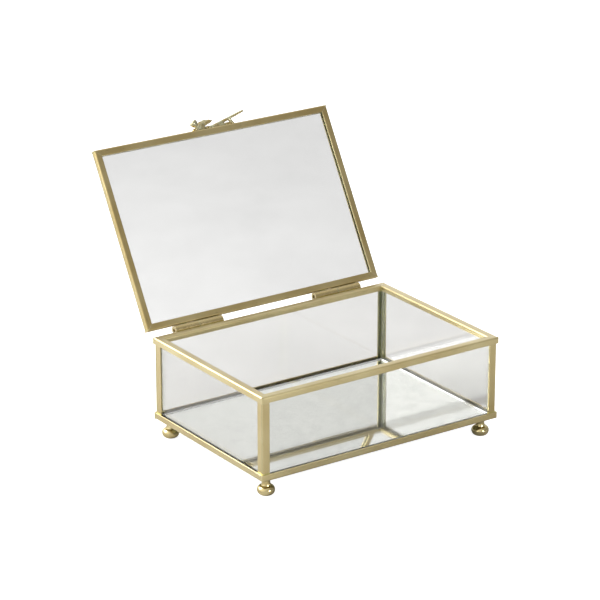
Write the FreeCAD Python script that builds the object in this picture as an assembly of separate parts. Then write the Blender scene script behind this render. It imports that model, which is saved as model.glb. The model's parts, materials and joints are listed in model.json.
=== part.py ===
"""Glass and brass jewelry box with a hinged glass lid, a mirror floor and four ball feet.

Frame: millimetres, +Z up, +Y to the back, where the hinges are. The pieces are drawn with the
lid shut, about a line up through the middle of the case. Open is the lid's rest, so it is then
swung open, and everything is moved so that the origin is on the table, under the middle of the
open box.
"""
import FreeCAD, Part
import math
import os

V = FreeCAD.Vector

# Case, outside sizes
CASE_WIDTH = 160.0
CASE_DEPTH = 110.0
CASE_HEIGHT = 49.4          # underside of the bottom rails to the top of the rim
FOOT_HEIGHT = 10.4

# Sheet, glass and the play between them
RAIL_SHEET = 0.9
POST_SHEET = 0.9
GLASS = 2.0
MIRROR = 2.0
FELT = 0.4
PANE_PLAY = 0.15
MIRROR_PLAY = 0.25

# Rails and posts
TOP_RAIL_OUTER_LEG = 3.9
TOP_RAIL_INNER_LEG = 3.2
BOTTOM_RAIL_LEG = 4.1
BOTTOM_RAIL_FLANGE = 6.0
POST_FRONT_LEG = 4.6
POST_SIDE_LEG = 5.3
BEND_RADIUS = 1.1           # outside of a fold along a rail
CORNER_RADIUS = 0.4         # outside corner of the case, seen from above
EDGE_RADIUS = 0.3           # dressed edge of the strip
SEAM = 0.35                 # groove left where two strips are soldered

# Lid
LID_SETBACK = 2.6           # front of the shut lid behind the front of the case
LID_RAIL_WIDTH = 4.0
LID_SEAM_HEIGHT = 1.4       # seam on the outside of the lid's rails, above their underside
LID_LOWER_RADIUS = 0.9      # outside lower edge of the lid's rails
LID_GAP = 0.3               # shut lid above the rim
LID_OPEN_ANGLE = 120.5      # from shut to its stop

# Hinges: a pin behind the rim, one knuckle on the case and one on the lid
HINGE_SPACING = 96.0        # middle of one hinge to the middle of the other
HINGE_LENGTH = 32.0
HINGE_CLEARANCE = 0.3       # knuckle behind the case
HINGE_DROP = 0.4            # pin's axis below the top of the rim
KNUCKLE_RADIUS = 2.5
PIN_RADIUS = 1.1
PIN_RUNNING_GAP = 0.05
PIN_RECESS = 1.6            # pin's end inside the knuckle's end
KNUCKLE_GAP = 0.3           # between the two knuckles
LEAF_SHEET = 0.7
STOP_WIDTH = 5.0
STOP_GAP = 0.1
STOP_START = 0.9            # the stop's bearing face, along the back of the open lid
STOP_END = 3.0
STOP_ROOT = 1.0             # half the width of the stop where it grows out of the knuckle

# Feet
FOOT_INSET = 6.7            # foot's axis from each outside face
FOOT_BALL_RADIUS = 5.0
FOOT_BALL_HEIGHT = 5.6
FOOT_PAD_RADIUS = 2.8
FOOT_NECK_RADIUS = 2.4
FOOT_COLLAR_RADIUS = 3.3

# Sprig on the lid's front edge. Its points are (along the edge, out from it), in the lid's plane
SPRIG_HEIGHT = 2.0          # its middle above the lid's underside
TWIG_RADIUS = 0.8
TWIG_LEFT = (-12.0, 0.7)
TWIG_RIGHT = (2.0, 0.7)
SHOOT_TIP = (24.5, 6.7)
SHOOT_RADIUS = 1.15
SHOOT_TIP_RADIUS = 0.6
UNDER_SHOOT_TIP = (14.5, 0.4)
UNDER_SHOOT_RADIUS = 1.0
UNDER_SHOOT_TIP_RADIUS = 0.8
SPUR_FOOT = (14.9, 0.0)
SPUR_TOP = (13.6, 3.8)
SPUR_RADIUS = 1.0
BUD_BASE = (-9.9, 2.8)
BUD_MOUTH = (-11.2, 5.7)
BUD_BASE_RADIUS = 0.9
BUD_MOUTH_RADIUS = 2.5
BUD_WALL = 0.6
BUD_HOLLOW_RADIUS = 0.6     # at the bottom of the hollow
BUD_HOLLOW_START = 0.4      # share of the bud's length that is solid
LEAF_BASE = (-7.6, 3.3)
LEAF_TIP = (2.3, 4.3)
LEAF_BULGE_OUT = (-3.6, 5.2)
LEAF_BULGE_IN = (-4.0, 2.3)
LEAF_THICKNESS = 1.0
STALK_RADIUS = 1.4
LEAF_STALK_FOOT = (-5.2, 0.9)
BUD_STALK_FOOT = (-9.0, 0.9)

# Places worked out from the sizes above
UNDERSIDE = FOOT_HEIGHT
RIM = FOOT_HEIGHT + CASE_HEIGHT
PANE_OUTER = RAIL_SHEET + POST_SHEET + PANE_PLAY
PANE_INNER = PANE_OUTER + GLASS
TOP_RAIL_WIDTH = PANE_INNER + PANE_PLAY + RAIL_SHEET
FLANGE_TOP = UNDERSIDE + RAIL_SHEET
FELT_TOP = FLANGE_TOP + FELT
BACK = CASE_DEPTH / 2
LID_DEPTH = CASE_DEPTH - LID_SETBACK
LID_THICKNESS = 2 * RAIL_SHEET + GLASS + 2 * PANE_PLAY
LID_UNDERSIDE = RIM + LID_GAP
LID_FRONT = BACK - LID_DEPTH
HINGE_BACK = KNUCKLE_RADIUS + HINGE_CLEARANCE
HINGE_AXIS = V(0, BACK + HINGE_BACK, RIM - HINGE_DROP)
SIDES = ("front", "right", "back", "left")
HINGE_SIDES = (("left", -1), ("right", 1))
TALL = 400.0                # taller than anything here, for cutting tools


def rounded_wire(corners):
    """A closed outline in a plane. Each corner is (point, radius), and radius 0 is sharp."""
    count = len(corners)
    starts = []
    edges = []
    arcs = []
    for i, (point, radius) in enumerate(corners):
        before = corners[i - 1][0] - point
        after = corners[(i + 1) % count][0] - point
        before.normalize()
        after.normalize()
        half = before.getAngle(after) / 2
        reach = radius / math.tan(half)
        middle = before + after
        middle.normalize()
        bulge = point + middle * (radius / math.sin(half) - radius)
        starts.append((point + before * reach, point + after * reach))
        arcs.append(bulge)
    for i, (enter, leave) in enumerate(starts):
        if corners[i][1] > 0:
            edges.append(Part.Arc(enter, arcs[i], leave).toShape())
        following = starts[(i + 1) % count][0]
        edges.append(Part.LineSegment(leave, following).toShape())
    return Part.Wire(edges)


def prism(corners, along):
    """The outline given by its corners, carried along a vector."""
    return Part.Face(rounded_wire(corners)).extrude(along)


def box(low, high):
    size = high - low
    return Part.makeBox(size.x, size.y, size.z, low)


def across(inward, up, radius=0.0):
    """A corner of a rail's section, in from its outside face and up from its underside."""
    return V(0, inward, up), radius


def plan(along, inward, radius=0.0):
    """A corner of a rail's plan, along it and in from its outside face."""
    return V(along, inward, -TALL / 2), radius


def rail_plan(length, width, laps):
    """A rail mitred at both ends. A lapping rail also takes the corner square of its sheet."""
    sheet = RAIL_SHEET
    inner = [
        plan(length - sheet, sheet),
        plan(length - width, width),
        plan(width, width),
        plan(sheet, sheet),
    ]
    if laps:
        outer = [
            plan(0, sheet),
            plan(0, 0, CORNER_RADIUS),
            plan(length, 0, CORNER_RADIUS),
            plan(length, sheet),
        ]
    else:
        outer = [
            plan(sheet, SEAM),
            plan(sheet + SEAM, 0),
            plan(length - sheet - SEAM, 0),
            plan(length - sheet, SEAM),
        ]
    return prism(outer + inner, V(0, 0, TALL))


def rail(section, length, width, laps):
    """A mitred rail along +X, its outside face on the XZ plane."""
    return prism(section, V(length, 0, 0)).common(rail_plan(length, width, laps))


def top_rail_section():
    """Folded channel, open downwards, that caps the glass."""
    sheet = RAIL_SHEET
    width = TOP_RAIL_WIDTH
    height = TOP_RAIL_OUTER_LEG
    return [
        across(0, 0, EDGE_RADIUS),
        across(0, height, BEND_RADIUS),
        across(width, height, BEND_RADIUS),
        across(width, height - TOP_RAIL_INNER_LEG, EDGE_RADIUS),
        across(width - sheet, height - TOP_RAIL_INNER_LEG),
        across(width - sheet, height - sheet),
        across(sheet, height - sheet),
        across(sheet, 0),
    ]


def bottom_rail_section():
    """Folded angle, whose flange carries the glass and the floor."""
    sheet = RAIL_SHEET
    return [
        across(0, 0, BEND_RADIUS),
        across(0, BOTTOM_RAIL_LEG, EDGE_RADIUS),
        across(sheet, BOTTOM_RAIL_LEG, EDGE_RADIUS),
        across(sheet, sheet),
        across(BOTTOM_RAIL_FLANGE, sheet),
        across(BOTTOM_RAIL_FLANGE, 0, EDGE_RADIUS),
    ]


def lid_rail_section():
    """Channel open inwards, closed below by a strip whose seam shows on the outside."""
    sheet = RAIL_SHEET
    width = LID_RAIL_WIDTH
    height = LID_THICKNESS
    return [
        across(0, 0, LID_LOWER_RADIUS),
        across(0, LID_SEAM_HEIGHT - SEAM),
        across(SEAM, LID_SEAM_HEIGHT),
        across(0, LID_SEAM_HEIGHT + SEAM),
        across(0, height, BEND_RADIUS),
        across(width, height, EDGE_RADIUS),
        across(width, height - sheet),
        across(sheet, height - sheet),
        across(sheet, sheet),
        across(width, sheet),
        across(width, 0, EDGE_RADIUS),
    ]


def ring_of_rails(section, width, depth, rail_width, back, height):
    """Four rails round a rectangle whose back edge is at a given y."""
    quarter = {"front": 0, "right": 1, "back": 2, "left": 3}
    corner = {
        "front": V(-width / 2, back - depth, height),
        "right": V(width / 2, back - depth, height),
        "back": V(width / 2, back, height),
        "left": V(-width / 2, back, height),
    }
    rails = {}
    for side in SIDES:
        laps = side in ("front", "back")
        shape = rail(section, width if laps else depth, rail_width, laps)
        shape.rotate(V(0, 0, 0), V(0, 0, 1), 90 * quarter[side])
        shape.translate(corner[side])
        rails[side] = shape
    return rails


def corner_post():
    """Front left post: two strips soldered into an angle, with the seam on the side face."""
    sheet = POST_SHEET
    low = FLANGE_TOP
    outline = [
        (V(0, 0, low), CORNER_RADIUS),
        (V(POST_FRONT_LEG, 0, low), EDGE_RADIUS),
        (V(POST_FRONT_LEG, sheet, low), 0),
        (V(sheet, sheet, low), 0),
        (V(sheet, POST_SIDE_LEG, low), 0),
        (V(0, POST_SIDE_LEG, low), EDGE_RADIUS),
        (V(0, sheet + SEAM, low), 0),
        (V(SEAM, sheet, low), 0),
        (V(0, sheet - SEAM, low), 0),
    ]
    post = prism(outline, V(0, 0, RIM - RAIL_SHEET - low))
    post.translate(V(RAIL_SHEET - CASE_WIDTH / 2, RAIL_SHEET - CASE_DEPTH / 2, 0))
    return post


def at_four_corners(shape):
    """Copies of a front left piece, mirrored to each corner of the case."""
    middle = V(0, 0, 0)
    front_right = shape.mirror(middle, V(1, 0, 0))
    return {
        "front_left": shape,
        "front_right": front_right,
        "back_left": shape.mirror(middle, V(0, 1, 0)),
        "back_right": front_right.mirror(middle, V(0, 1, 0)),
    }


def side_panes():
    """Front and back panes run the full width, and the side panes stand between them."""
    low = FLANGE_TOP
    high = RIM - RAIL_SHEET - PANE_PLAY
    half_width = CASE_WIDTH / 2
    half_depth = CASE_DEPTH / 2
    long_end = half_width - PANE_OUTER
    short_end = half_depth - PANE_INNER - PANE_PLAY
    panes = {}
    for name, side in (("front", -1), ("back", 1)):
        faces = sorted((side * (half_depth - PANE_OUTER), side * (half_depth - PANE_INNER)))
        panes[name] = box(V(-long_end, faces[0], low), V(long_end, faces[1], high))
    for name, side in (("left", -1), ("right", 1)):
        faces = sorted((side * (half_width - PANE_OUTER), side * (half_width - PANE_INNER)))
        panes[name] = box(V(faces[0], -short_end, low), V(faces[1], short_end, high))
    return panes


def floor_sheet(low, thickness):
    """A sheet that lies on the bottom flanges, inside the panes."""
    half_width = CASE_WIDTH / 2 - PANE_INNER - MIRROR_PLAY
    half_depth = CASE_DEPTH / 2 - PANE_INNER - MIRROR_PLAY
    return box(V(-half_width, -half_depth, low), V(half_width, half_depth, low + thickness))


def foot():
    """Front left foot: a turned ball with a flat pad below and a waisted neck above."""
    neck_middle = (FOOT_BALL_HEIGHT + FOOT_HEIGHT) / 2
    pad = V(FOOT_PAD_RADIUS, 0, 0)
    shoulder = V(FOOT_PAD_RADIUS, 0, FOOT_BALL_HEIGHT)
    collar = V(FOOT_COLLAR_RADIUS, 0, FOOT_HEIGHT)
    top = V(0, 0, FOOT_HEIGHT)
    outline = Part.Wire([
        Part.LineSegment(V(0, 0, 0), pad).toShape(),
        Part.Arc(pad, V(FOOT_BALL_RADIUS, 0, FOOT_BALL_HEIGHT / 2), shoulder).toShape(),
        Part.Arc(shoulder, V(FOOT_NECK_RADIUS, 0, neck_middle), collar).toShape(),
        Part.LineSegment(collar, top).toShape(),
        Part.LineSegment(top, V(0, 0, 0)).toShape(),
    ])
    turned = Part.Face(outline).revolve(V(0, 0, 0), V(0, 0, 1), 360)
    turned.translate(V(FOOT_INSET - CASE_WIDTH / 2, FOOT_INSET - CASE_DEPTH / 2, 0))
    return turned


def rod(start, end, start_radius, end_radius):
    """A straight tapered rod."""
    along = end - start
    if abs(start_radius - end_radius) < 1e-6:
        return Part.makeCylinder(start_radius, along.Length, start, along)
    return Part.makeCone(start_radius, end_radius, along.Length, start, along)


def barrel(start, end, radius):
    """A round bar on the hinge's axis, between two places along it."""
    return Part.makeCylinder(radius, end - start, V(start, HINGE_AXIS.y, HINGE_AXIS.z), V(1, 0, 0))


def case_hinge_leaf(start, end):
    """Leaf on the back of the rim: a plate, a web under the knuckle, and the lid's stop."""
    web_low = HINGE_AXIS.z - KNUCKLE_RADIUS
    plate = box(V(start, BACK, RIM - TOP_RAIL_OUTER_LEG), V(end, BACK + LEAF_SHEET, web_low + LEAF_SHEET))
    web = box(V(start, BACK, web_low), V(end, HINGE_AXIS.y, web_low + LEAF_SHEET))
    knuckle = barrel(start, end, KNUCKLE_RADIUS)
    middle = (start + end) / 2
    stop = lid_stop(middle - STOP_WIDTH / 2)
    return plate.fuse([web, knuckle, stop]).cut(barrel(start, end, PIN_RADIUS)).removeSplitter()


def lid_stop(start):
    """A lug behind the knuckle that the back of the open lid leans on."""
    turn = math.radians(LID_OPEN_ANGLE)
    towards_lid = V(0, -math.cos(turn), math.sin(turn))
    down_lid = V(0, math.sin(turn), math.cos(turn))
    face = HINGE_BACK - STOP_GAP
    corners = [
        (0, 0),
        (face, STOP_START),
        (face, STOP_END),
        (STOP_ROOT, STOP_END),
        (-STOP_ROOT, 0),
    ]
    axis = V(start, HINGE_AXIS.y, HINGE_AXIS.z)
    outline = [(axis + towards_lid * out + down_lid * down, 0) for out, down in corners]
    return prism(outline, V(STOP_WIDTH, 0, 0))


def lid_hinge_leaf(start, end):
    """Leaf on the back of the shut lid: a plate, and a web over the knuckle."""
    web_high = HINGE_AXIS.z + KNUCKLE_RADIUS
    plate = box(
        V(start, BACK, LID_UNDERSIDE + LID_LOWER_RADIUS),
        V(end, BACK + LEAF_SHEET, LID_UNDERSIDE + LID_THICKNESS - BEND_RADIUS),
    )
    web = box(V(start, BACK, web_high - LEAF_SHEET), V(end, HINGE_AXIS.y, web_high))
    knuckle = barrel(start, end, KNUCKLE_RADIUS)
    bore = barrel(start, end, PIN_RADIUS + PIN_RUNNING_GAP)
    return plate.fuse([web, knuckle]).cut(bore).removeSplitter()


def lid_pane():
    """Clear glass held in the lid's channels."""
    edge = RAIL_SHEET + PANE_PLAY
    half_width = CASE_WIDTH / 2 - edge
    low = LID_UNDERSIDE + RAIL_SHEET
    return box(V(-half_width, LID_FRONT + edge, low), V(half_width, BACK - edge, low + GLASS))


def on_lid_edge(point, above=0.0):
    """A point of the sprig on the shut lid."""
    along, out = point
    return V(along, LID_FRONT - out, LID_UNDERSIDE + SPRIG_HEIGHT + above)


def sprig_bud():
    """An open bud: a flared cup with a hollow mouth."""
    base = on_lid_edge(BUD_BASE)
    mouth = on_lid_edge(BUD_MOUTH)
    cup = rod(base, mouth, BUD_BASE_RADIUS, BUD_MOUTH_RADIUS)
    hollow_base = base + (mouth - base) * BUD_HOLLOW_START
    hollow = rod(hollow_base, mouth, BUD_HOLLOW_RADIUS, BUD_MOUTH_RADIUS - BUD_WALL)
    return cup.cut(hollow)


def sprig_leaf():
    """A pointed leaf, lying in the lid's plane."""
    below = -LEAF_THICKNESS / 2
    base = on_lid_edge(LEAF_BASE, below)
    tip = on_lid_edge(LEAF_TIP, below)
    outline = Part.Wire([
        Part.Arc(base, on_lid_edge(LEAF_BULGE_OUT, below), tip).toShape(),
        Part.Arc(tip, on_lid_edge(LEAF_BULGE_IN, below), base).toShape(),
    ])
    return Part.Face(outline).extrude(V(0, 0, LEAF_THICKNESS))


def lid_sprig():
    """Cast sprig on the lid's front edge, by which the lid is lifted."""
    twig = rod(on_lid_edge(TWIG_LEFT), on_lid_edge(TWIG_RIGHT), TWIG_RADIUS, TWIG_RADIUS)
    pieces = [
        rod(on_lid_edge(TWIG_RIGHT), on_lid_edge(SHOOT_TIP), SHOOT_RADIUS, SHOOT_TIP_RADIUS),
        rod(
            on_lid_edge(TWIG_RIGHT),
            on_lid_edge(UNDER_SHOOT_TIP),
            UNDER_SHOOT_RADIUS,
            UNDER_SHOOT_TIP_RADIUS,
        ),
        rod(on_lid_edge(SPUR_FOOT), on_lid_edge(SPUR_TOP), SPUR_RADIUS, SPUR_RADIUS),
        rod(on_lid_edge(LEAF_STALK_FOOT), on_lid_edge(LEAF_BASE), STALK_RADIUS, STALK_RADIUS),
        rod(on_lid_edge(BUD_STALK_FOOT), on_lid_edge(BUD_BASE), STALK_RADIUS, STALK_RADIUS),
        sprig_bud(),
        sprig_leaf(),
    ]
    behind_edge = box(
        V(-CASE_WIDTH / 2, LID_FRONT, LID_UNDERSIDE),
        V(CASE_WIDTH / 2, BACK, LID_UNDERSIDE + LID_THICKNESS),
    )
    return twig.fuse(pieces).cut(behind_edge).removeSplitter()


def case_pieces():
    pieces = {}
    bottom = ring_of_rails(
        bottom_rail_section(), CASE_WIDTH, CASE_DEPTH, BOTTOM_RAIL_FLANGE, BACK, UNDERSIDE)
    top = ring_of_rails(
        top_rail_section(), CASE_WIDTH, CASE_DEPTH, TOP_RAIL_WIDTH, BACK, RIM - TOP_RAIL_OUTER_LEG)
    panes = side_panes()
    for side in SIDES:
        pieces["bottom_rail_" + side] = bottom[side]
        pieces["top_rail_" + side] = top[side]
        pieces["pane_" + side] = panes[side]
    posts = at_four_corners(corner_post())
    feet = at_four_corners(foot())
    for corner in posts:
        pieces["corner_post_" + corner] = posts[corner]
        pieces["foot_" + corner] = feet[corner]
    pieces["floor_felt"] = floor_sheet(FLANGE_TOP, FELT)
    pieces["floor_mirror"] = floor_sheet(FELT_TOP, MIRROR)
    return pieces


def hinge_pieces():
    """Case leaves and pins, then the lid's leaves, for the two hinges."""
    fixed = {}
    moving = {}
    for name, side in HINGE_SIDES:
        middle = side * HINGE_SPACING / 2
        left = middle - HINGE_LENGTH / 2
        right = middle + HINGE_LENGTH / 2
        fixed["hinge_case_leaf_" + name] = case_hinge_leaf(left, middle - KNUCKLE_GAP / 2)
        fixed["hinge_pin_" + name] = barrel(left + PIN_RECESS, right - PIN_RECESS, PIN_RADIUS)
        moving["hinge_lid_leaf_" + name] = lid_hinge_leaf(middle + KNUCKLE_GAP / 2, right)
    return fixed, moving


def lid_pieces():
    rails = ring_of_rails(
        lid_rail_section(), CASE_WIDTH, LID_DEPTH, LID_RAIL_WIDTH, BACK, LID_UNDERSIDE)
    pieces = {"lid_rail_" + side: rails[side] for side in SIDES}
    pieces["lid_pane"] = lid_pane()
    pieces["lid_sprig"] = lid_sprig()
    return pieces


def middle_of_footprint(pieces):
    """The middle of the space that the open box takes up on the table, front to back."""
    whole = Part.makeCompound(list(pieces.values())).optimalBoundingBox(False, False)
    return V(0, (whole.YMin + whole.YMax) / 2, 0)


def main():
    os.makedirs("parts", exist_ok=True)
    pieces = case_pieces()
    hinges_on_case, hinges_on_lid = hinge_pieces()
    pieces.update(hinges_on_case)
    lid = lid_pieces()
    lid.update(hinges_on_lid)
    for name, shape in lid.items():
        shape.rotate(HINGE_AXIS, V(1, 0, 0), -LID_OPEN_ANGLE)
        pieces[name] = shape
    middle = middle_of_footprint(pieces)
    print(f"middle of the case is {-middle.y:.3f} mm along Y")
    for name, shape in pieces.items():
        shape.translate(-middle)
        if not shape.isValid() or len(shape.Solids) != 1:
            raise ValueError(f"{name}: {len(shape.Solids)} solids, valid {shape.isValid()}")
        shape.Solids[0].exportStep(f"parts/{name}.step")
        print(f"{name}: {shape.Volume:.1f} mm3")


main()
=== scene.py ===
"""Finish of a glass and brass jewelry box: its metals, glass, mirror floor, cast sprig and stage.

Every length is in metres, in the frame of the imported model. The lid stands open at rest, and the
sprig is drawn on the shut lid and then swung open with it.
"""
import bpy
import bmesh
import json
import math
from bpy.props import FloatProperty, FloatVectorProperty, IntProperty, PointerProperty
from mathutils import Euler, Matrix, Vector


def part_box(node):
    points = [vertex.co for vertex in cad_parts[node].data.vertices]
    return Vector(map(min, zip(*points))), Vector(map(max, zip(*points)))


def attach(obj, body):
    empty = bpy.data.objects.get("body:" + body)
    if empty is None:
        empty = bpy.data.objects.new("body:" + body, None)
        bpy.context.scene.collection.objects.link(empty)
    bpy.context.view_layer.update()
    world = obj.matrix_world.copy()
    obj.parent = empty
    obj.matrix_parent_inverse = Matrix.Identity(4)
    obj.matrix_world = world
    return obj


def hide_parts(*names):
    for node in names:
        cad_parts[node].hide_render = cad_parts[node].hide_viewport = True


bl_info = {
    "name": "Jewelry Box",
    "version": (1, 0, 0),
    "blender": (4, 5, 0),
    "location": "View3D > Sidebar > Jewelry Box",
    "description": "Builds the finish of a glass and brass jewelry box",
    "category": "Object",
}

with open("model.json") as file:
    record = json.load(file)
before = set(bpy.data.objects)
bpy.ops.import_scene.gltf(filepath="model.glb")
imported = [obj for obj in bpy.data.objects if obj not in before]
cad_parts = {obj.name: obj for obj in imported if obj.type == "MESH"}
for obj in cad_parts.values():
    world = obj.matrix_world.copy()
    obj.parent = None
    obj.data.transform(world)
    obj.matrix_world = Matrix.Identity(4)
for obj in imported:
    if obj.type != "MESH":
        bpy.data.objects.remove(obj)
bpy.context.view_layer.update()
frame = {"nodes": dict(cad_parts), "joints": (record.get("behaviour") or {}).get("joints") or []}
NODES = frame["nodes"]
MM = 0.001
SIDES = ("front", "right", "back", "left")
CORNERS = ("front_left", "front_right", "back_left", "back_right")

# The lid's hinge, and the turn that takes the shut lid to its rest
HINGE = frame["joints"][0]
OPEN_ANGLE = math.radians(HINGE["range_deg"][1])
HINGE_POINT = Matrix.Translation(Vector(HINGE["pos_m"]))
OPENING = HINGE_POINT @ Matrix.Rotation(-OPEN_ANGLE, 4, "X") @ HINGE_POINT.inverted()

# Turns that lay a grain along each kind of bar
GRAIN_ALONG = {
    "width": (0, 0, 0),
    "depth": (0, 0, math.pi / 2),
    "height": (0, math.pi / 2, 0),
    "lid slope": (0, OPEN_ANGLE - math.pi, math.pi / 2),
}

# Each light's name, the setting that holds its power, its size and its place
LIGHTS = (
    ("key_light", "key_power", 1.2, (-0.65, 1.4, 1.0)),
    ("pool_light", "pool_power", 0.3, (-0.45, 0.25, 0.35)),
    ("card_light", "card_power", 0.35, (0.2, -1.26, 0.26)),
)
TOWARD_BRIGHT = Vector((-0.75, 0.6, 0.25)).normalized()

# Sockets of a Mix node that mixes colours
MIX_FACTOR = 0
MIX_FIRST = 6
MIX_SECOND = 7
MIX_RESULT = 2


def shut_box(name):
    """Lowest and highest corner of a node of the lid, measured with the lid shut."""
    shut = OPENING.inverted()
    points = [shut @ vertex.co for vertex in NODES[name].data.vertices]
    low = Vector([min(point[axis] for point in points) for axis in range(3)])
    high = Vector([max(point[axis] for point in points) for axis in range(3)])
    return low, high


# ---------------------------------------------------------------- settings


class BrassSettings(bpy.types.PropertyGroup):
    """Colours and polish of the brass parts."""

    plating: FloatVectorProperty(
        name="Plating", description="Colour of the satin plating",
        subtype="COLOR", size=3, min=0, max=1, default=(0.62, 0.54, 0.30))
    shade: FloatVectorProperty(
        name="Shade", description="Deeper tone that the plating drifts towards",
        subtype="COLOR", size=3, min=0, max=1, default=(0.42, 0.315, 0.125))
    aged: FloatVectorProperty(
        name="Aged castings", description="Greener tone that the cast parts drift towards",
        subtype="COLOR", size=3, min=0, max=1, default=(0.50, 0.49, 0.33))
    # Painted light: a brighter, greener plating laid where the brass lies close to another piece,
    # mostly behind the glass, in place of light those faces would catch.
    lit_behind_glass: FloatVectorProperty(
        name="Fresh plating", description="Colour of the plating sheltered behind the glass",
        subtype="COLOR", size=3, min=0, max=1, default=(0.66, 0.68, 0.33))
    # Pale edge colour: partly scuffed brass, partly a painted highlight.
    wear_and_highlight: FloatVectorProperty(
        name="Worn edges", description="Colour of edges rubbed bright",
        subtype="COLOR", size=3, min=0, max=1, default=(0.92, 0.87, 0.66))
    satin: FloatProperty(
        name="Satin roughness", description="Roughness of the brushed rails and posts",
        subtype="FACTOR", min=0, max=1, default=0.30)
    polish: FloatProperty(
        name="Polished roughness", description="Roughness of the turned feet",
        subtype="FACTOR", min=0, max=1, default=0.16)
    # Painted shade: the near-black colour laid into seams and inside corners.
    seam_shade_colour: FloatVectorProperty(
        name="Grime", description="Colour of the tarnish left in seams",
        subtype="COLOR", size=3, min=0, max=1, default=(0.11, 0.085, 0.04))
    wear_and_highlight_width: FloatProperty(
        name="Wear width", description="How far the rubbed edge reaches over each face",
        subtype="DISTANCE", unit="LENGTH", min=0, default=0.4 * MM)
    streak_length: FloatProperty(
        name="Streak length", description="Length of one brushed streak",
        subtype="DISTANCE", unit="LENGTH", min=0, default=22 * MM)
    streak_width: FloatProperty(
        name="Streak width", description="Width of one brushed streak",
        subtype="DISTANCE", unit="LENGTH", min=0, default=0.22 * MM)


class GlassSettings(bpy.types.PropertyGroup):
    """Glass, mirror and felt."""

    side: FloatVectorProperty(
        name="Side glass", description="Light that one side pane lets through",
        subtype="COLOR", size=3, min=0, max=1, default=(0.84, 0.835, 0.825))
    lid: FloatVectorProperty(
        name="Lid glass", description="Light that the lid's pane lets through",
        subtype="COLOR", size=3, min=0, max=1, default=(0.86, 0.86, 0.86))
    depth_tint: FloatVectorProperty(
        name="Depth tint", description="Colour that light takes on along the glass",
        subtype="COLOR", size=3, min=0, max=1, default=(0.35, 0.72, 0.45))
    depth_density: FloatProperty(
        name="Depth density", description="How fast glass darkens, per metre of its own thickness",
        min=0, default=3)
    ground: FloatProperty(
        name="Ground edges", description="Roughness of the glass where the metal holds it",
        subtype="FACTOR", min=0, max=1, default=0.7)
    plate: FloatVectorProperty(
        name="Mirror plate", description="Light that the mirror's glass lets through",
        subtype="COLOR", size=3, min=0, max=1, default=(0.965, 0.98, 0.975))
    silver: FloatVectorProperty(
        name="Silver", description="Colour of the mirror's silvering",
        subtype="COLOR", size=3, min=0, max=1, default=(0.96, 0.965, 0.955))
    silver_inset: FloatProperty(
        name="Silver inset", description="Bare margin between the silvering and the mirror's edge",
        subtype="DISTANCE", unit="LENGTH", min=0, default=0.05 * MM)
    felt: FloatVectorProperty(
        name="Felt", description="Colour of the felt under the mirror",
        subtype="COLOR", size=3, min=0, max=1, default=(0.52, 0.53, 0.34))


class SprigSettings(bpy.types.PropertyGroup):
    """Cast sprig on the lid's front edge."""

    height: FloatProperty(
        name="Height", description="Middle of the sprig above the shut lid's underside",
        subtype="DISTANCE", unit="LENGTH", default=2.0 * MM)
    twig_radius: FloatProperty(
        name="Twig radius", description="Radius of the twig along the lid's edge",
        subtype="DISTANCE", unit="LENGTH", min=0, default=0.8 * MM)
    shoot_radius: FloatProperty(
        name="Shoot radius", description="Radius of the long shoot where it leaves the twig",
        subtype="DISTANCE", unit="LENGTH", min=0, default=1.15 * MM)
    shoot_tip_radius: FloatProperty(
        name="Shoot tip radius", description="Radius of the long shoot at its tip",
        subtype="DISTANCE", unit="LENGTH", min=0, default=0.62 * MM)
    bead_count: IntProperty(
        name="Beads", description="Swellings along the outer half of the shoot", min=0, default=9)
    petal_count: IntProperty(
        name="Petals", description="Scallops round the mouth of the bud", min=3, default=5)
    lobe_count: IntProperty(
        name="Leaf lobes", description="Rounded lobes down each side of the leaf", min=1, default=3)
    grain: FloatProperty(
        name="Casting size", description="Finest detail that the casting keeps",
        subtype="DISTANCE", unit="LENGTH", min=0.00005, default=0.13 * MM)


class StageSettings(bpy.types.PropertyGroup):
    """Floor, light and camera."""

    floor_radius: FloatProperty(
        name="Floor radius", description="Radius of the round floor",
        subtype="DISTANCE", unit="LENGTH", min=1, default=4.0)
    floor_glow: FloatProperty(
        name="Floor glow", description="How much brighter the floor looks than it lights the box",
        min=0, default=0.9)
    bright_side: FloatProperty(
        name="Bright side", description="Strength of the room's light from the left and the back",
        min=0, default=1.75)
    dim_side: FloatProperty(
        name="Dim side", description="Strength of the room's light from the front right",
        min=0, default=0.42)
    key_power: FloatProperty(
        name="Key light", description="Power of the soft light behind the box, at the left",
        subtype="POWER", unit="POWER", min=0, default=8)
    pool_power: FloatProperty(
        name="Pool light", description="Power of the near light over the floor at the box's left",
        subtype="POWER", unit="POWER", min=0, default=4.2)
    card_power: FloatProperty(
        name="Card light", description="Power of the soft light in front of the box",
        subtype="POWER", unit="POWER", min=0, default=6)
    view_azimuth: FloatProperty(
        name="View azimuth", description="Turn of the camera to the left of the front",
        subtype="ANGLE", unit="ROTATION", default=math.radians(34.598))
    view_elevation: FloatProperty(
        name="View elevation", description="Height of the camera above the level",
        subtype="ANGLE", unit="ROTATION", default=math.radians(20.318))
    view_distance: FloatProperty(
        name="View distance", description="Camera to the point it looks at",
        subtype="DISTANCE", unit="LENGTH", min=0.1, default=1.6826)
    view_point: FloatVectorProperty(
        name="View point", description="Where the camera looks, from the middle of the case's feet",
        subtype="TRANSLATION", unit="LENGTH", size=3, default=(0.00131, 0.0274, 0.0733))
    lens: FloatProperty(
        name="Lens", description="Focal length of the camera, in millimetres",
        min=10, default=178.23)


# ---------------------------------------------------------------- nodes


def add(tree, kind, **settings):
    """A new shader node with its settings."""
    made = tree.nodes.new("ShaderNode" + kind)
    for key, value in settings.items():
        setattr(made, key, value)
    return made


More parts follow.
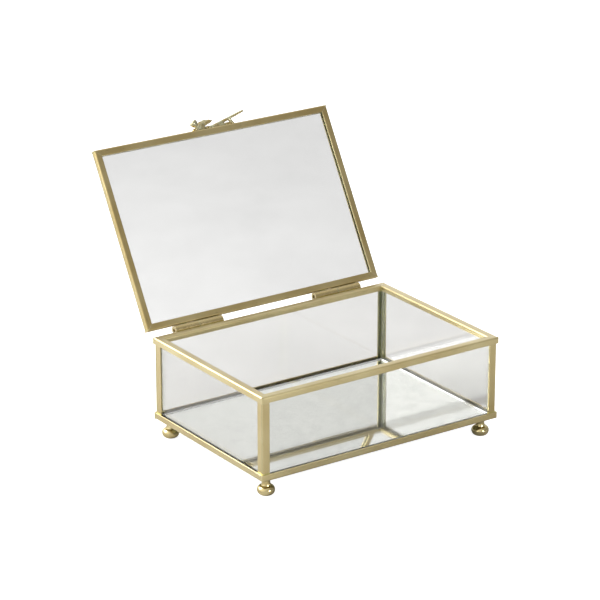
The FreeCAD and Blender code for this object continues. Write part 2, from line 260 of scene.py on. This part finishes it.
def feed(tree, socket, value):
    """Links an output to a socket, or sets the socket to a plain value."""
    if isinstance(value, bpy.types.NodeSocket):
        tree.links.new(value, socket)
    else:
        socket.default_value = value


def rgba(colour):
    """A colour with full alpha."""
    return (*colour, 1.0)


def mix_colours(tree, factor, first, second):
    """The first colour where the factor is 0, and the second where it is 1."""
    mix = add(tree, "Mix", data_type="RGBA")
    feed(tree, mix.inputs[MIX_FACTOR], factor)
    feed(tree, mix.inputs[MIX_FIRST], first)
    feed(tree, mix.inputs[MIX_SECOND], second)
    return mix.outputs[MIX_RESULT]


def remap(tree, value, low, high, new_low, new_high):
    """A value moved from one range to another, and held at its ends."""
    changed = add(tree, "MapRange")
    feed(tree, changed.inputs["Value"], value)
    feed(tree, changed.inputs["From Min"], low)
    feed(tree, changed.inputs["From Max"], high)
    feed(tree, changed.inputs["To Min"], new_low)
    feed(tree, changed.inputs["To Max"], new_high)
    return changed.outputs["Result"]


def combine(tree, operation, first, second):
    """Two values put through a Math node."""
    made = add(tree, "Math", operation=operation)
    feed(tree, made.inputs[0], first)
    feed(tree, made.inputs[1], second)
    return made.outputs[0]


def scaled(tree, value, share):
    return combine(tree, "MULTIPLY", value, share)


def noise(tree, vector, scale, detail, roughness=0.5):
    """Cloudy noise about 0.5."""
    made = add(tree, "TexNoise")
    feed(tree, made.inputs["Vector"], vector)
    feed(tree, made.inputs["Scale"], scale)
    feed(tree, made.inputs["Detail"], detail)
    feed(tree, made.inputs["Roughness"], roughness)
    return made.outputs["Fac"]


def relief(tree, height, strength, distance):
    """A bump, as the normal that a shader takes."""
    bump = add(tree, "Bump")
    feed(tree, bump.inputs["Height"], height)
    bump.inputs["Strength"].default_value = strength
    bump.inputs["Distance"].default_value = distance
    return bump.outputs["Normal"]


def object_coordinates(tree):
    return add(tree, "TexCoord").outputs["Object"]


def new_group(name, inputs, outputs):
    """An empty node group, its input values and its output sockets."""
    tree = bpy.data.node_groups.new(name, "ShaderNodeTree")
    for label, kind, default in inputs:
        socket = tree.interface.new_socket(name=label, in_out="INPUT", socket_type=kind)
        socket.default_value = default
    for label in outputs:
        tree.interface.new_socket(name=label, in_out="OUTPUT", socket_type="NodeSocketFloat")
    given = tree.nodes.new("NodeGroupInput").outputs
    result = tree.nodes.new("NodeGroupOutput").inputs
    return tree, given, result


def grain_group():
    """Fine brushed streaks. Turn lays them along a bar, and Size is one streak's size."""
    name = "Brushed Grain"
    if name in bpy.data.node_groups:
        return bpy.data.node_groups[name]
    tree, given, result = new_group(
        name,
        [
            ("Turn", "NodeSocketVector", (0, 0, 0)),
            ("Size", "NodeSocketVector", (0.02, 0.0002, 0.0002)),
        ],
        ["Streaks", "Bands"],
    )
    laid = add(tree, "Mapping", vector_type="TEXTURE")
    feed(tree, laid.inputs["Vector"], object_coordinates(tree))
    feed(tree, laid.inputs["Rotation"], given["Turn"])
    feed(tree, laid.inputs["Scale"], given["Size"])
    fine = noise(tree, laid.outputs["Vector"], 1.0, 3.0, 0.6)
    broad = noise(tree, laid.outputs["Vector"], 0.17, 2.0)
    feed(tree, result["Streaks"], remap(tree, fine, 0.3, 0.7, 0.0, 1.0))
    feed(tree, result["Bands"], remap(tree, broad, 0.35, 0.65, 0.0, 1.0))
    return tree


def tone_group():
    """Slow drift of tone over a surface, and small clouds within it."""
    name = "Tone Drift"
    if name in bpy.data.node_groups:
        return bpy.data.node_groups[name]
    tree, given, result = new_group(
        name, [("Size", "NodeSocketFloat", 0.03)], ["Drift", "Clouds"])
    scale = combine(tree, "DIVIDE", 1.0, given["Size"])
    finer = scaled(tree, scale, 7.0)
    place = object_coordinates(tree)
    drift = noise(tree, place, scale, 2.0)
    clouds = noise(tree, place, finer, 4.0, 0.6)
    feed(tree, result["Drift"], remap(tree, drift, 0.35, 0.65, 0.0, 1.0))
    feed(tree, result["Clouds"], remap(tree, clouds, 0.35, 0.65, 0.0, 1.0))
    return tree


def edge_wear_and_highlight_group():
    """Edges lightened by scuffing and by a painted highlight: where a rounded copy of the surface
    leans away from it.
    """
    name = "Edge Wear"
    if name in bpy.data.node_groups:
        return bpy.data.node_groups[name]
    tree, given, result = new_group(
        name, [("Width", "NodeSocketFloat", 0.0003), ("Patchiness", "NodeSocketFloat", 0.5)], ["Edge"])
    rounded = add(tree, "Bevel", samples=4)
    feed(tree, rounded.inputs["Radius"], given["Width"])
    lean = add(tree, "VectorMath", operation="DOT_PRODUCT")
    feed(tree, lean.inputs[0], rounded.outputs["Normal"])
    feed(tree, lean.inputs[1], add(tree, "NewGeometry").outputs["Normal"])
    edge = remap(tree, lean.outputs["Value"], 0.99, 0.80, 0.0, 1.0)
    patches = noise(tree, object_coordinates(tree), 400.0, 3.0)
    kept = remap(tree, patches, 0.35, 0.6, combine(tree, "SUBTRACT", 1.0, given["Patchiness"]), 1.0)
    feed(tree, result["Edge"], combine(tree, "MULTIPLY", edge, kept))
    return tree


def crevice_group():
    """Seams are a piece's own inside corners, and Sheltered faces lie close to another piece."""
    name = "Crevices"
    if name in bpy.data.node_groups:
        return bpy.data.node_groups[name]
    tree, given, result = new_group(
        name, [("Reach", "NodeSocketFloat", 0.0006)], ["Seams", "Sheltered"])
    for label, local in (("Seams", True), ("Sheltered", False)):
        # Ambient occlusion: the brass takes painted shade from Seams and painted light from Sheltered;
        # the glass takes its ground edges from Sheltered.
        open_sky = add(tree, "AmbientOcclusion", samples=6, only_local=local)
        feed(tree, open_sky.inputs["Distance"], given["Reach"])
        feed(tree, result[label], remap(tree, open_sky.outputs["AO"], 0.93, 0.45, 0.0, 1.0))
    return tree


def marks_group():
    """Faint wiped smears and specks of dust, for glass and polished metal."""
    name = "Handling Marks"
    if name in bpy.data.node_groups:
        return bpy.data.node_groups[name]
    tree, given, result = new_group(
        name, [("Size", "NodeSocketFloat", 0.03)], ["Smears", "Specks"])
    scale = combine(tree, "DIVIDE", 1.0, given["Size"])
    place = object_coordinates(tree)
    wiped = add(tree, "Mapping", vector_type="TEXTURE")
    feed(tree, wiped.inputs["Vector"], place)
    wiped.inputs["Rotation"].default_value = (0.3, 0.5, 0.6)
    wiped.inputs["Scale"].default_value = (1.0, 0.3, 0.6)
    smears = noise(tree, wiped.outputs["Vector"], scale, 4.0, 0.65)
    specks = noise(tree, place, 2600.0, 1.0)
    feed(tree, result["Smears"], remap(tree, smears, 0.4, 0.7, 0.0, 1.0))
    feed(tree, result["Specks"], remap(tree, specks, 0.72, 0.8, 0.0, 1.0))
    return tree


def place_group(tree, group, **values):
    """A shared effect placed in a material, with this material's own values."""
    made = add(tree, "Group", node_tree=group)
    for key, value in values.items():
        feed(tree, made.inputs[key], value)
    return made.outputs


def new_material(name):
    """A material, and the Principled shader in it."""
    material = bpy.data.materials.new(name)
    material.use_nodes = True
    tree = material.node_tree
    return material, tree, tree.nodes["Principled BSDF"]


# ---------------------------------------------------------------- materials


def plated_colour(tree, brass, tone_depth, grain, tone, edge_wear_and_highlight):
    """Plating deepened by the given tone depth, scuffed bright at its edges with a painted highlight
    there too, brightened with painted light where it lies close to another piece, and darkened with
    painted shade in its seams.
    """
    drift = remap(tree, tone["Drift"], 0.0, 1.0, tone_depth - 0.4, tone_depth + 0.1)
    plated = mix_colours(tree, drift, rgba(brass.plating), rgba(brass.shade))
    streaks = scaled(tree, grain["Streaks"], 0.28)
    streaked = mix_colours(tree, streaks, plated, rgba(brass.shade))
    # Partly scuffing and partly a painted highlight: edges lightened towards the pale edge colour.
    wear_and_highlight = scaled(tree, edge_wear_and_highlight["Edge"], 0.85)
    rubbed_and_highlit = mix_colours(tree, wear_and_highlight, streaked, rgba(brass.wear_and_highlight))
    crevices = place_group(tree, crevice_group(), Reach=0.6 * MM)
    # Painted light: brass close to another piece, mostly behind the glass, is brightened towards this
    # colour.
    lit_behind_glass = mix_colours(tree, crevices["Sheltered"], rubbed_and_highlit, rgba(brass.lit_behind_glass))
    # Painted shade: seams found by ambient occlusion are darkened towards the near-black colour.
    seam_shade = scaled(tree, crevices["Seams"], 0.9)
    return mix_colours(tree, seam_shade, lit_behind_glass, rgba(brass.seam_shade_colour))


def plated_roughness(tree, roughness, grain, tone, edge_wear_and_highlight):
    """Rougher along the streaks and in clouds, and smoother at rubbed edges."""
    streaked = remap(tree, grain["Streaks"], 0.0, 1.0, roughness - 0.05, roughness + 0.07)
    clouded = combine(tree, "ADD", streaked, scaled(tree, tone["Clouds"], 0.05))
    return combine(tree, "SUBTRACT", clouded, scaled(tree, edge_wear_and_highlight["Edge"], 0.1))


def brushed_brass(name, turn, brass, roughness, tone_depth=0.5):
    """Satin plating with a grain brushed along the bar. Tone depth, from 0 to 1, deepens its tone."""
    material, tree, shader = new_material(name)
    size = (brass.streak_length, brass.streak_width, brass.streak_width)
    grain = place_group(tree, grain_group(), Turn=turn, Size=size)
    tone = place_group(tree, tone_group(), Size=0.035)
    edge_wear_and_highlight = place_group(tree, edge_wear_and_highlight_group(), Width=brass.wear_and_highlight_width, Patchiness=0.5)
    feed(tree, shader.inputs["Base Color"], plated_colour(tree, brass, tone_depth, grain, tone, edge_wear_and_highlight))
    feed(tree, shader.inputs["Roughness"], plated_roughness(tree, roughness, grain, tone, edge_wear_and_highlight))
    height = combine(tree, "ADD", grain["Streaks"], scaled(tree, grain["Bands"], 2.0))
    feed(tree, shader.inputs["Normal"], relief(tree, height, 0.25, 0.006 * MM))
    shader.inputs["Metallic"].default_value = 1.0
    shader.inputs["Coat Weight"].default_value = 0.55
    shader.inputs["Coat Roughness"].default_value = 0.15
    return material


def polished_brass(brass):
    """Bright turned brass, with the fine rings that the lathe leaves."""
    material, tree, shader = new_material("Polished Brass")
    rings = place_group(
        tree, grain_group(), Turn=GRAIN_ALONG["height"], Size=(0.18 * MM, 40 * MM, 40 * MM))
    tone = place_group(tree, tone_group(), Size=0.012)
    marks = place_group(tree, marks_group(), Size=0.006)
    toned = scaled(tree, tone["Drift"], 0.8)
    feed(tree, shader.inputs["Base Color"], mix_colours(
        tree, toned, rgba(brass.plating), rgba(brass.shade)))
    dulled = remap(tree, marks["Smears"], 0.0, 1.0, brass.polish - 0.03, brass.polish + 0.1)
    feed(tree, shader.inputs["Roughness"], dulled)
    feed(tree, shader.inputs["Normal"], relief(tree, rings["Streaks"], 0.2, 0.01 * MM))
    shader.inputs["Metallic"].default_value = 1.0
    return material


def cast_brass(brass):
    """Cast brass: slightly lumpy, in an uneven tone, and lightened along its edges by scuffing and by
    a painted highlight.
    """
    material, tree, shader = new_material("Cast Brass")
    tone = place_group(tree, tone_group(), Size=0.004)
    edge_wear_and_highlight = place_group(tree, edge_wear_and_highlight_group(), Width=0.35 * MM, Patchiness=0.3)
    dark = mix_colours(tree, tone["Drift"], rgba(brass.aged), rgba(brass.shade))
    # Partly scuffing and partly a painted highlight: edges lightened towards the pale edge colour.
    rubbed_and_highlit = mix_colours(tree, scaled(tree, edge_wear_and_highlight["Edge"], 0.5), dark, rgba(brass.wear_and_highlight))
    feed(tree, shader.inputs["Base Color"], rubbed_and_highlit)
    feed(tree, shader.inputs["Roughness"], remap(tree, tone["Clouds"], 0.0, 1.0, 0.22, 0.42))
    feed(tree, shader.inputs["Normal"], relief(tree, tone["Clouds"], 0.5, 0.06 * MM))
    shader.inputs["Metallic"].default_value = 1.0
    return material


def clear_glass(name, colour, glass):
    """Float glass, green along its depth, faintly smeared, and ground where metal holds it."""
    material, tree, shader = new_material(name)
    marks = place_group(tree, marks_group(), Size=0.05)
    smeared = [part * 0.965 for part in colour]
    cleaned = mix_colours(
        tree, scaled(tree, marks["Smears"], 0.6), rgba(colour), rgba(smeared))
    feed(tree, shader.inputs["Base Color"], cleaned)
    held = place_group(tree, crevice_group(), Reach=0.5 * MM)["Sheltered"]
    feed(tree, shader.inputs["Roughness"], scaled(tree, held, glass.ground))
    shader.inputs["IOR"].default_value = 1.5
    shader.inputs["Transmission Weight"].default_value = 1.0
    depth = add(tree, "VolumeAbsorption")
    depth.inputs["Color"].default_value = rgba(glass.depth_tint)
    depth.inputs["Density"].default_value = glass.depth_density
    output = tree.nodes["Material Output"]
    feed(tree, output.inputs["Volume"], depth.outputs["Volume"])
    return material


def silvering(glass):
    """The mirror's silver coat, with a little foxing."""
    material, tree, shader = new_material("Silvering")
    tone = place_group(tree, tone_group(), Size=0.05)
    foxed = [part * 0.94 for part in glass.silver]
    feed(tree, shader.inputs["Base Color"], mix_colours(
        tree, tone["Clouds"], rgba(glass.silver), rgba(foxed)))
    feed(tree, shader.inputs["Roughness"], remap(tree, tone["Drift"], 0.0, 1.0, 0.0, 0.03))
    shader.inputs["Metallic"].default_value = 1.0
    return material


def pressed_felt(glass):
    """Short matted fibres."""
    material, tree, shader = new_material("Pressed Felt")
    tone = place_group(tree, tone_group(), Size=0.02)
    fibres = noise(tree, object_coordinates(tree), 2200.0, 5.0, 0.7)
    light = [min(1.0, part * 1.5) for part in glass.felt]
    mixed = combine(tree, "MULTIPLY", fibres, combine(tree, "ADD", tone["Clouds"], 0.4))
    feed(tree, shader.inputs["Base Color"], mix_colours(tree, mixed, rgba(glass.felt), rgba(light)))
    feed(tree, shader.inputs["Roughness"], remap(tree, fibres, 0.3, 0.7, 0.85, 1.0))
    feed(tree, shader.inputs["Normal"], relief(tree, fibres, 0.7, 0.15 * MM))
    shader.inputs["Sheen Weight"].default_value = 0.4
    return material


def paper_floor(glow):
    """Matt paper that looks brighter than it is, so that its shadows stay faint."""
    material, tree, shader = new_material("Studio Paper")
    tone = place_group(tree, tone_group(), Size=0.4)
    pale = mix_colours(tree, tone["Clouds"], (0.49, 0.49, 0.49, 1), (0.52, 0.52, 0.52, 1))
    feed(tree, shader.inputs["Base Color"], pale)
    shader.inputs["Roughness"].default_value = 0.9
    shader.inputs["Specular IOR Level"].default_value = 0.0
    ray = add(tree, "LightPath").outputs
    through_glass = scaled(tree, ray["Is Transmission Ray"], 0.15)
    seen = combine(tree, "ADD", ray["Is Camera Ray"], through_glass)
    feed(tree, shader.inputs["Emission Color"], mix_colours(tree, seen, (0, 0, 0, 1), (1, 1, 1, 1)))
    shader.inputs["Emission Strength"].default_value = glow
    return material


# ---------------------------------------------------------------- meshes


def paint(material, *names):
    """Gives CAD nodes a material."""
    for name in names:
        mesh = NODES[name].data
        mesh.materials.clear()
        mesh.materials.append(material)


def new_object(name, mesh, material):
    """An object from a finished bmesh, smooth shaded."""
    bmesh.ops.recalc_face_normals(mesh, faces=mesh.faces)
    data = bpy.data.meshes.new(name)
    mesh.to_mesh(data)
    mesh.free()
    data.materials.append(material)
    for face in data.polygons:
        face.use_smooth = True
    made = bpy.data.objects.new(name, data)
    bpy.context.scene.collection.objects.link(made)
    return made


def sweep(mesh, stations, sides=24):
    """A closed skin through rings. A station is its middle, its two half axes and its scallops."""
    rings = []
    for middle, across, up, scallop in stations:
        ring = []
        for step in range(sides):
            turn = math.tau * step / sides
            reach = 1 + scallop(turn)
            ring.append(mesh.verts.new(
                middle + reach * (across * math.cos(turn) + up * math.sin(turn))))
        rings.append(ring)
    for before, after in zip(rings, rings[1:]):
        for step in range(sides):
            beside = (step + 1) % sides
            mesh.faces.new((before[step], before[beside], after[beside], after[step]))
    mesh.faces.new(rings[0])
    mesh.faces.new(rings[-1])


def plain(turn):
    """No scallops."""
    return 0.0


def along_bend(start, bend, end, share):
    """A point on the curve that leaves start towards bend and ends at end, and its direction."""
    rest = 1 - share
    point = start * rest ** 2 + bend * (2 * rest * share) + end * share ** 2
    heading = (bend - start) * rest + (end - bend) * share
    return point, heading.normalized()


def branch(mesh, start, bend, end, radius_at, steps=24):
    """A round branch along a bend. radius_at gives its radius at each share of its length."""
    upright = Vector((0, 0, 1))
    stations = []
    for step in range(steps + 1):
        share = step / steps
        point, heading = along_bend(start, bend, end, share)
        radius = radius_at(share)
        side = heading.cross(upright).normalized()
        stations.append((point, side * radius, heading.cross(side) * radius, plain))
    sweep(mesh, stations)


def rounded_end(share, reach=0.04):
    """Brings a branch to a rounded end over the last part of its length."""
    left = min(1.0, (1.0 - share) / reach)
    return math.sqrt(max(0.04, 1 - (1 - left) ** 2))


class Sprig:
    """The sprig's parts, drawn on the shut lid. A point is (along the edge, out from it, above)."""

    def __init__(self, settings):
        self.settings = settings
        self.mesh = bmesh.new()
        self.low, self.high = shut_box("lid_rail_front")

    def at(self, along, out, above=0.0):
        """A point given in millimetres."""
        level = self.low.z + self.settings.height
        return Vector((along * MM, self.low.y - out * MM, level + above * MM))

    def twig(self):
        """The stem soldered along the lid's edge, a little knotted."""
        radius = self.settings.twig_radius

        def radius_at(share):
            mound = 0.45 * math.exp(-((share - 0.38) / 0.16) ** 2)
            knots = 1 + mound + 0.08 * math.sin(share * 19) + 0.04 * math.sin(share * 43)
            return radius * knots * rounded_end(share, 0.08) * rounded_end(1 - share, 0.08)

        branch(self.mesh, self.at(-13.0, 0.45), self.at(-5.0, 1.0), self.at(3.4, 0.55), radius_at)

    def shoot(self):
        """The long shoot, with beads over its outer half."""
        thick = self.settings.shoot_radius
        thin = self.settings.shoot_tip_radius
        beads = self.settings.bead_count

        def radius_at(share):
            taper = thick + (thin - thick) * share
            outer = min(1.0, max(0.0, (share - 0.45) / 0.1))
            swell = abs(math.sin(math.pi * beads * (share - 0.45) / 0.55))
            return taper * (1 + 0.26 * outer * (swell - 0.5)) * rounded_end(share)

        branch(
            self.mesh, self.at(0.6, 0.4), self.at(12.4, 3.5, 0.1), self.at(24.3, 6.55), radius_at, 96)

    def under_shoot(self):
        """The shoot under it, lying along the lid's edge as far as the spur."""
        thick = self.settings.shoot_radius

        def radius_at(share):
            return thick * (0.95 - 0.15 * share) * rounded_end(share, 0.1)

        branch(self.mesh, self.at(0.8, 0.3), self.at(7.0, 0.4), self.at(15.2, 0.7), radius_at, 24)

    def spur(self):
        """The short strut that carries the shoot."""

        def radius_at(share):
            return (1.15 - 0.2 * math.sin(math.pi * share)) * MM

        branch(self.mesh, self.at(15.1, -0.3), self.at(14.3, 1.6), self.at(13.1, 3.4), radius_at, 12)

    def crown(self):
        """The flattened crown that the leaf and the bud grow from."""
        foot, top = self.at(-8.4, 0.2), self.at(-6.2, 3.4)
        foot_width, narrowing, ripple = 4.6, 2.2, 0.2
        foot_thickness, thinning = 1.3, 0.5
        stations = []
        for step in range(13):
            share = step / 12
            width = (foot_width - narrowing * share + ripple * math.sin(share * 9)) * MM
            thick = (foot_thickness - thinning * share) * MM
            along, up = Vector((width, 0, 0)), Vector((0, 0, thick))
            stations.append((foot.lerp(top, share), along, up, veins))
        sweep(self.mesh, stations, 48)

    def bud(self):
        """A round bud, just open: a scalloped cup with a hollow mouth."""
        base = self.at(-9.4, 2.4)
        mouth = self.at(-11.2, 5.5, 0.1)
        axis = mouth - base
        side = axis.cross(Vector((0, 0, 1))).normalized() * MM
        up = side.cross(axis).normalized() * MM
        petals = self.settings.petal_count

        def scallop_by(depth):
            return lambda turn: depth * math.cos(petals * turn)

        # Share of the way to the mouth, radius and depth of the scallops
        outside = [(0.0, 0.8, 0), (0.15, 1.5, 0), (0.4, 2.1, 0.03), (0.7, 2.4, 0.05), (1.0, 2.3, 0.08)]
        inside = [(1.05, 1.9, 0.08), (0.75, 1.4, 0.06), (0.45, 0.8, 0)]
        stations = []
        for share, radius, depth in outside + inside:
            stations.append((base + axis * share, side * radius, up * radius * 0.8, scallop_by(depth)))
        sweep(self.mesh, stations, 40)

    def leaf(self):
        """A lobed leaf with a raised midrib, cupped towards the front."""
        start, bend, end = self.at(-8.4, 3.2), self.at(-3.6, 3.9, 0.5), self.at(2.2, 4.25)
        half_width, half_thickness = 1.7, 0.8
        lobes = self.settings.lobe_count
        stations = []
        for step in range(49):
            share = step / 48
            point, heading = along_bend(start, bend, end, share)
            side = heading.cross(Vector((0, 0, 1))).normalized()
            swell = math.sin(math.pi * min(1.0, 0.12 + share * 0.88)) ** 0.7
            lobed = 1 + 0.24 * abs(math.sin(math.pi * lobes * share)) - 0.12
            width = max(0.25, half_width * swell * lobed) * MM
            thick = max(0.2, half_thickness * swell) * MM
            stations.append((point, side * width, Vector((0, 0, thick)), midrib))
        sweep(self.mesh, stations, 32)


def veins(turn):
    """Shallow flutes round a crown."""
    return 0.07 * math.cos(9 * turn)


def midrib(turn):
    """Raises a narrow rib along the middle of both faces of a leaf."""
    return 0.35 * abs(math.sin(turn)) ** 24 - 0.12 * abs(math.sin(2 * turn))


# ---------------------------------------------------------------- pieces


class FinishFrame(bpy.types.Operator):
    """Satin brass on the rails and posts, brushed along each bar"""

    bl_idname = "jewelry_box.finish_frame"
    bl_label = "Finish the brass frame"

    def execute(self, context):
        brass = context.scene.box_brass
        self.paint_rails(brass, "Rails Across", GRAIN_ALONG["width"], ("front", "back"))
        self.paint_rails(brass, "Rails Deep", GRAIN_ALONG["depth"], ("left", "right"))
        self.paint_lid(brass, "Lid Across", GRAIN_ALONG["width"], ("front", "back"))
        self.paint_lid(brass, "Lid Deep", GRAIN_ALONG["lid slope"], ("left", "right"))
        upright = brushed_brass("Satin Brass Posts", GRAIN_ALONG["height"], brass, brass.satin, 0.7)
        for corner in CORNERS:
            paint(upright, f"corner_post_{corner}")
        return {"FINISHED"}

    def paint_rails(self, brass, label, turn, sides):
        """One finish on the top and bottom rails of two sides."""
        finish = brushed_brass(f"Satin Brass {label}", turn, brass, brass.satin)
        for side in sides:
            paint(finish, f"bottom_rail_{side}", f"top_rail_{side}")

    def paint_lid(self, brass, label, turn, sides):
        """Painted shade: the lid's rails take a deeper tone than the case's, for the shade on the open
        lid's underside.
        """
        # Painted shade: the lid's rails take tone depth 0.9, deeper than the 0.5 of the case's rails.
        finish = brushed_brass(f"Satin Brass {label}", turn, brass, brass.satin, 0.9)
        for side in sides:
            paint(finish, f"lid_rail_{side}")


class FinishFeet(bpy.types.Operator):
    """Polished brass on the four turned feet"""

    bl_idname = "jewelry_box.finish_feet"
    bl_label = "Finish the feet"

    def execute(self, context):
        polished = polished_brass(context.scene.box_brass)
        for corner in CORNERS:
            paint(polished, f"foot_{corner}")
        return {"FINISHED"}


class FinishHinges(bpy.types.Operator):
    """Brass on the hinge leaves and pins, smoother than the frame"""

    bl_idname = "jewelry_box.finish_hinges"
    bl_label = "Finish the hinges"

    def execute(self, context):
        brass = context.scene.box_brass
        drawn = brushed_brass("Hinge Brass", GRAIN_ALONG["width"], brass, brass.satin - 0.08, 0.9)
        for side in ("left", "right"):
            paint(drawn, f"hinge_case_leaf_{side}", f"hinge_lid_leaf_{side}", f"hinge_pin_{side}")
        return {"FINISHED"}


class GlazeBox(bpy.types.Operator):
    """Clear glass in the four sides and the lid"""

    bl_idname = "jewelry_box.glaze"
    bl_label = "Glaze the box"

    def execute(self, context):
        glass = context.scene.box_glass
        sides = clear_glass("Side Glass", glass.side, glass)
        for side in SIDES:
            paint(sides, f"pane_{side}")
        paint(clear_glass("Lid Glass", glass.lid, glass), "lid_pane")
        return {"FINISHED"}


class LayFloor(bpy.types.Operator):
    """Mirror plate with its silvering, on felt"""

    bl_idname = "jewelry_box.lay_floor"
    bl_label = "Lay the mirror floor"

    def execute(self, context):
        glass = context.scene.box_glass
        paint(clear_glass("Mirror Plate", glass.plate, glass), "floor_mirror")
        paint(pressed_felt(glass), "floor_felt")
        self.add_silver(glass)
        return {"FINISHED"}

    def add_silver(self, glass):
        """The silver coat, just inside the underside of the mirror plate."""
        low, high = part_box("floor_mirror")
        low = low + Vector((glass.silver_inset, glass.silver_inset, 0.03 * MM))
        high = high - Vector((glass.silver_inset, glass.silver_inset, 0))
        mesh = bmesh.new()
        bmesh.ops.create_grid(mesh, x_segments=24, y_segments=16, size=0.5)
        size = high - low
        middle = (low + high) / 2
        bmesh.ops.scale(mesh, vec=(size.x, size.y, 1), verts=mesh.verts)
        bmesh.ops.translate(mesh, vec=(middle.x, middle.y, low.z), verts=mesh.verts)
        sheet = new_object("mirror_silvering", mesh, silvering(glass))
        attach(sheet, "case")


class CastSprig(bpy.types.Operator):
    """Cast sprig on the lid's front edge"""

    bl_idname = "jewelry_box.cast_sprig"
    bl_label = "Cast the sprig"

    def execute(self, context):
        settings = context.scene.box_sprig
        sprig = Sprig(settings)
        sprig.twig()
        sprig.shoot()
        sprig.under_shoot()
        sprig.spur()
        sprig.crown()
        sprig.bud()
        sprig.leaf()
        bmesh.ops.transform(sprig.mesh, matrix=OPENING, verts=sprig.mesh.verts)
        made = new_object("sprig_casting", sprig.mesh, cast_brass(context.scene.box_brass))
        cast = made.modifiers.new("Cast in one piece", "REMESH")
        cast.mode = "VOXEL"
        cast.voxel_size = settings.grain
        cast.use_smooth_shade = True
        tumbled = made.modifiers.new("Tumbled", "SMOOTH")
        tumbled.iterations = 2
        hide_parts("lid_sprig")
        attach(made, "lid")
        return {"FINISHED"}


class SetStage(bpy.types.Operator):
    """Floor, soft light and camera"""

    bl_idname = "jewelry_box.set_stage"
    bl_label = "Set the stage"

    def execute(self, context):
        stage = context.scene.box_stage
        self.lay_paper(stage)
        self.light_room(context.scene, stage)
        for name, power, size, place in LIGHTS:
            self.hang_light(context.scene, name, getattr(stage, power), size, place)
        self.follow_light(context.scene)
        self.place_camera(context.scene, stage)
        context.scene.view_settings.view_transform = "Standard"
        return {"FINISHED"}

    def lay_paper(self, stage):
        mesh = bmesh.new()
        bmesh.ops.create_circle(mesh, cap_ends=True, segments=96, radius=stage.floor_radius)
        new_object("studio_floor", mesh, paper_floor(stage.floor_glow))

    def light_room(self, scene, stage):
        """A room that is bright at the left and the back, and dim at the front right."""
        world = bpy.data.worlds.new("Studio Room")
        scene.world = world
        world.use_nodes = True
        tree = world.node_tree
        facing = add(tree, "VectorMath", operation="DOT_PRODUCT")
        feed(tree, facing.inputs[0], add(tree, "TexCoord").outputs["Generated"])
        facing.inputs[1].default_value = TOWARD_BRIGHT
        strength = remap(
            tree, facing.outputs["Value"], -0.7, 0.9, stage.dim_side, stage.bright_side)
        background = tree.nodes["Background"]
        background.inputs["Color"].default_value = (1.0, 0.995, 0.985, 1.0)
        feed(tree, background.inputs["Strength"], strength)

    def hang_light(self, scene, name, power, size, place):
        """A round soft light that faces the box."""
        lamp = bpy.data.lights.new(name, "AREA")
        lamp.shape = "DISK"
        lamp.size = size
        lamp.energy = power
        hung = bpy.data.objects.new(name, lamp)
        hung.location = place
        hung.rotation_euler = (-hung.location).to_track_quat("-Z", "Y").to_euler()
        scene.collection.objects.link(hung)

    def follow_light(self, scene):
        """Lets light go on through the panes and back from the mirror."""
        scene.cycles.max_bounces = 24
        scene.cycles.glossy_bounces = 10
        scene.cycles.transmission_bounces = 24

    def place_camera(self, scene, stage):
        low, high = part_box("floor_felt")
        middle = (low + high) / 2
        target = Vector((middle.x, middle.y, 0)) + Vector(stage.view_point)
        back = Vector((0, -1, 0))
        back.rotate(Euler((-stage.view_elevation, 0, 0)))
        back.rotate(Euler((0, 0, -stage.view_azimuth)))
        lens = bpy.data.cameras.new("view")
        lens.lens = stage.lens
        lens.sensor_width = 36
        camera = bpy.data.objects.new("view", lens)
        camera.location = target + back * stage.view_distance
        camera.rotation_euler = (-back).to_track_quat("-Z", "Y").to_euler()
        scene.collection.objects.link(camera)
        scene.camera = camera


class BoxPanel(bpy.types.Panel):
    """The box's pieces and their settings"""

    bl_idname = "VIEW3D_PT_jewelry_box"
    bl_label = "Jewelry Box"
    bl_space_type = "VIEW_3D"
    bl_region_type = "UI"
    bl_category = "Jewelry Box"

    def draw(self, context):
        scene = context.scene
        for settings in (scene.box_brass, scene.box_glass, scene.box_sprig, scene.box_stage):
            column = self.layout.box().column()
            for key in settings.__annotations__:
                column.prop(settings, key)
        for piece in PIECES:
            self.layout.operator(piece.bl_idname)


SETTINGS = {
    "box_brass": BrassSettings,
    "box_glass": GlassSettings,
    "box_sprig": SprigSettings,
    "box_stage": StageSettings,
}
PIECES = (FinishFrame, FinishFeet, FinishHinges, GlazeBox, LayFloor, CastSprig, SetStage)


def register():
    for key, settings in SETTINGS.items():
        bpy.utils.register_class(settings)
        setattr(bpy.types.Scene, key, PointerProperty(type=settings))
    for piece in PIECES:
        bpy.utils.register_class(piece)
    bpy.utils.register_class(BoxPanel)


def unregister():
    bpy.utils.unregister_class(BoxPanel)
    for piece in reversed(PIECES):
        bpy.utils.unregister_class(piece)
    for key, settings in SETTINGS.items():
        delattr(bpy.types.Scene, key)
        bpy.utils.unregister_class(settings)


def main():
    register()
    bpy.ops.jewelry_box.finish_frame()
    bpy.ops.jewelry_box.finish_feet()
    bpy.ops.jewelry_box.finish_hinges()
    bpy.ops.jewelry_box.glaze()
    bpy.ops.jewelry_box.lay_floor()
    bpy.ops.jewelry_box.cast_sprig()
    bpy.ops.jewelry_box.set_stage()


if __name__ == "__main__":
    main()
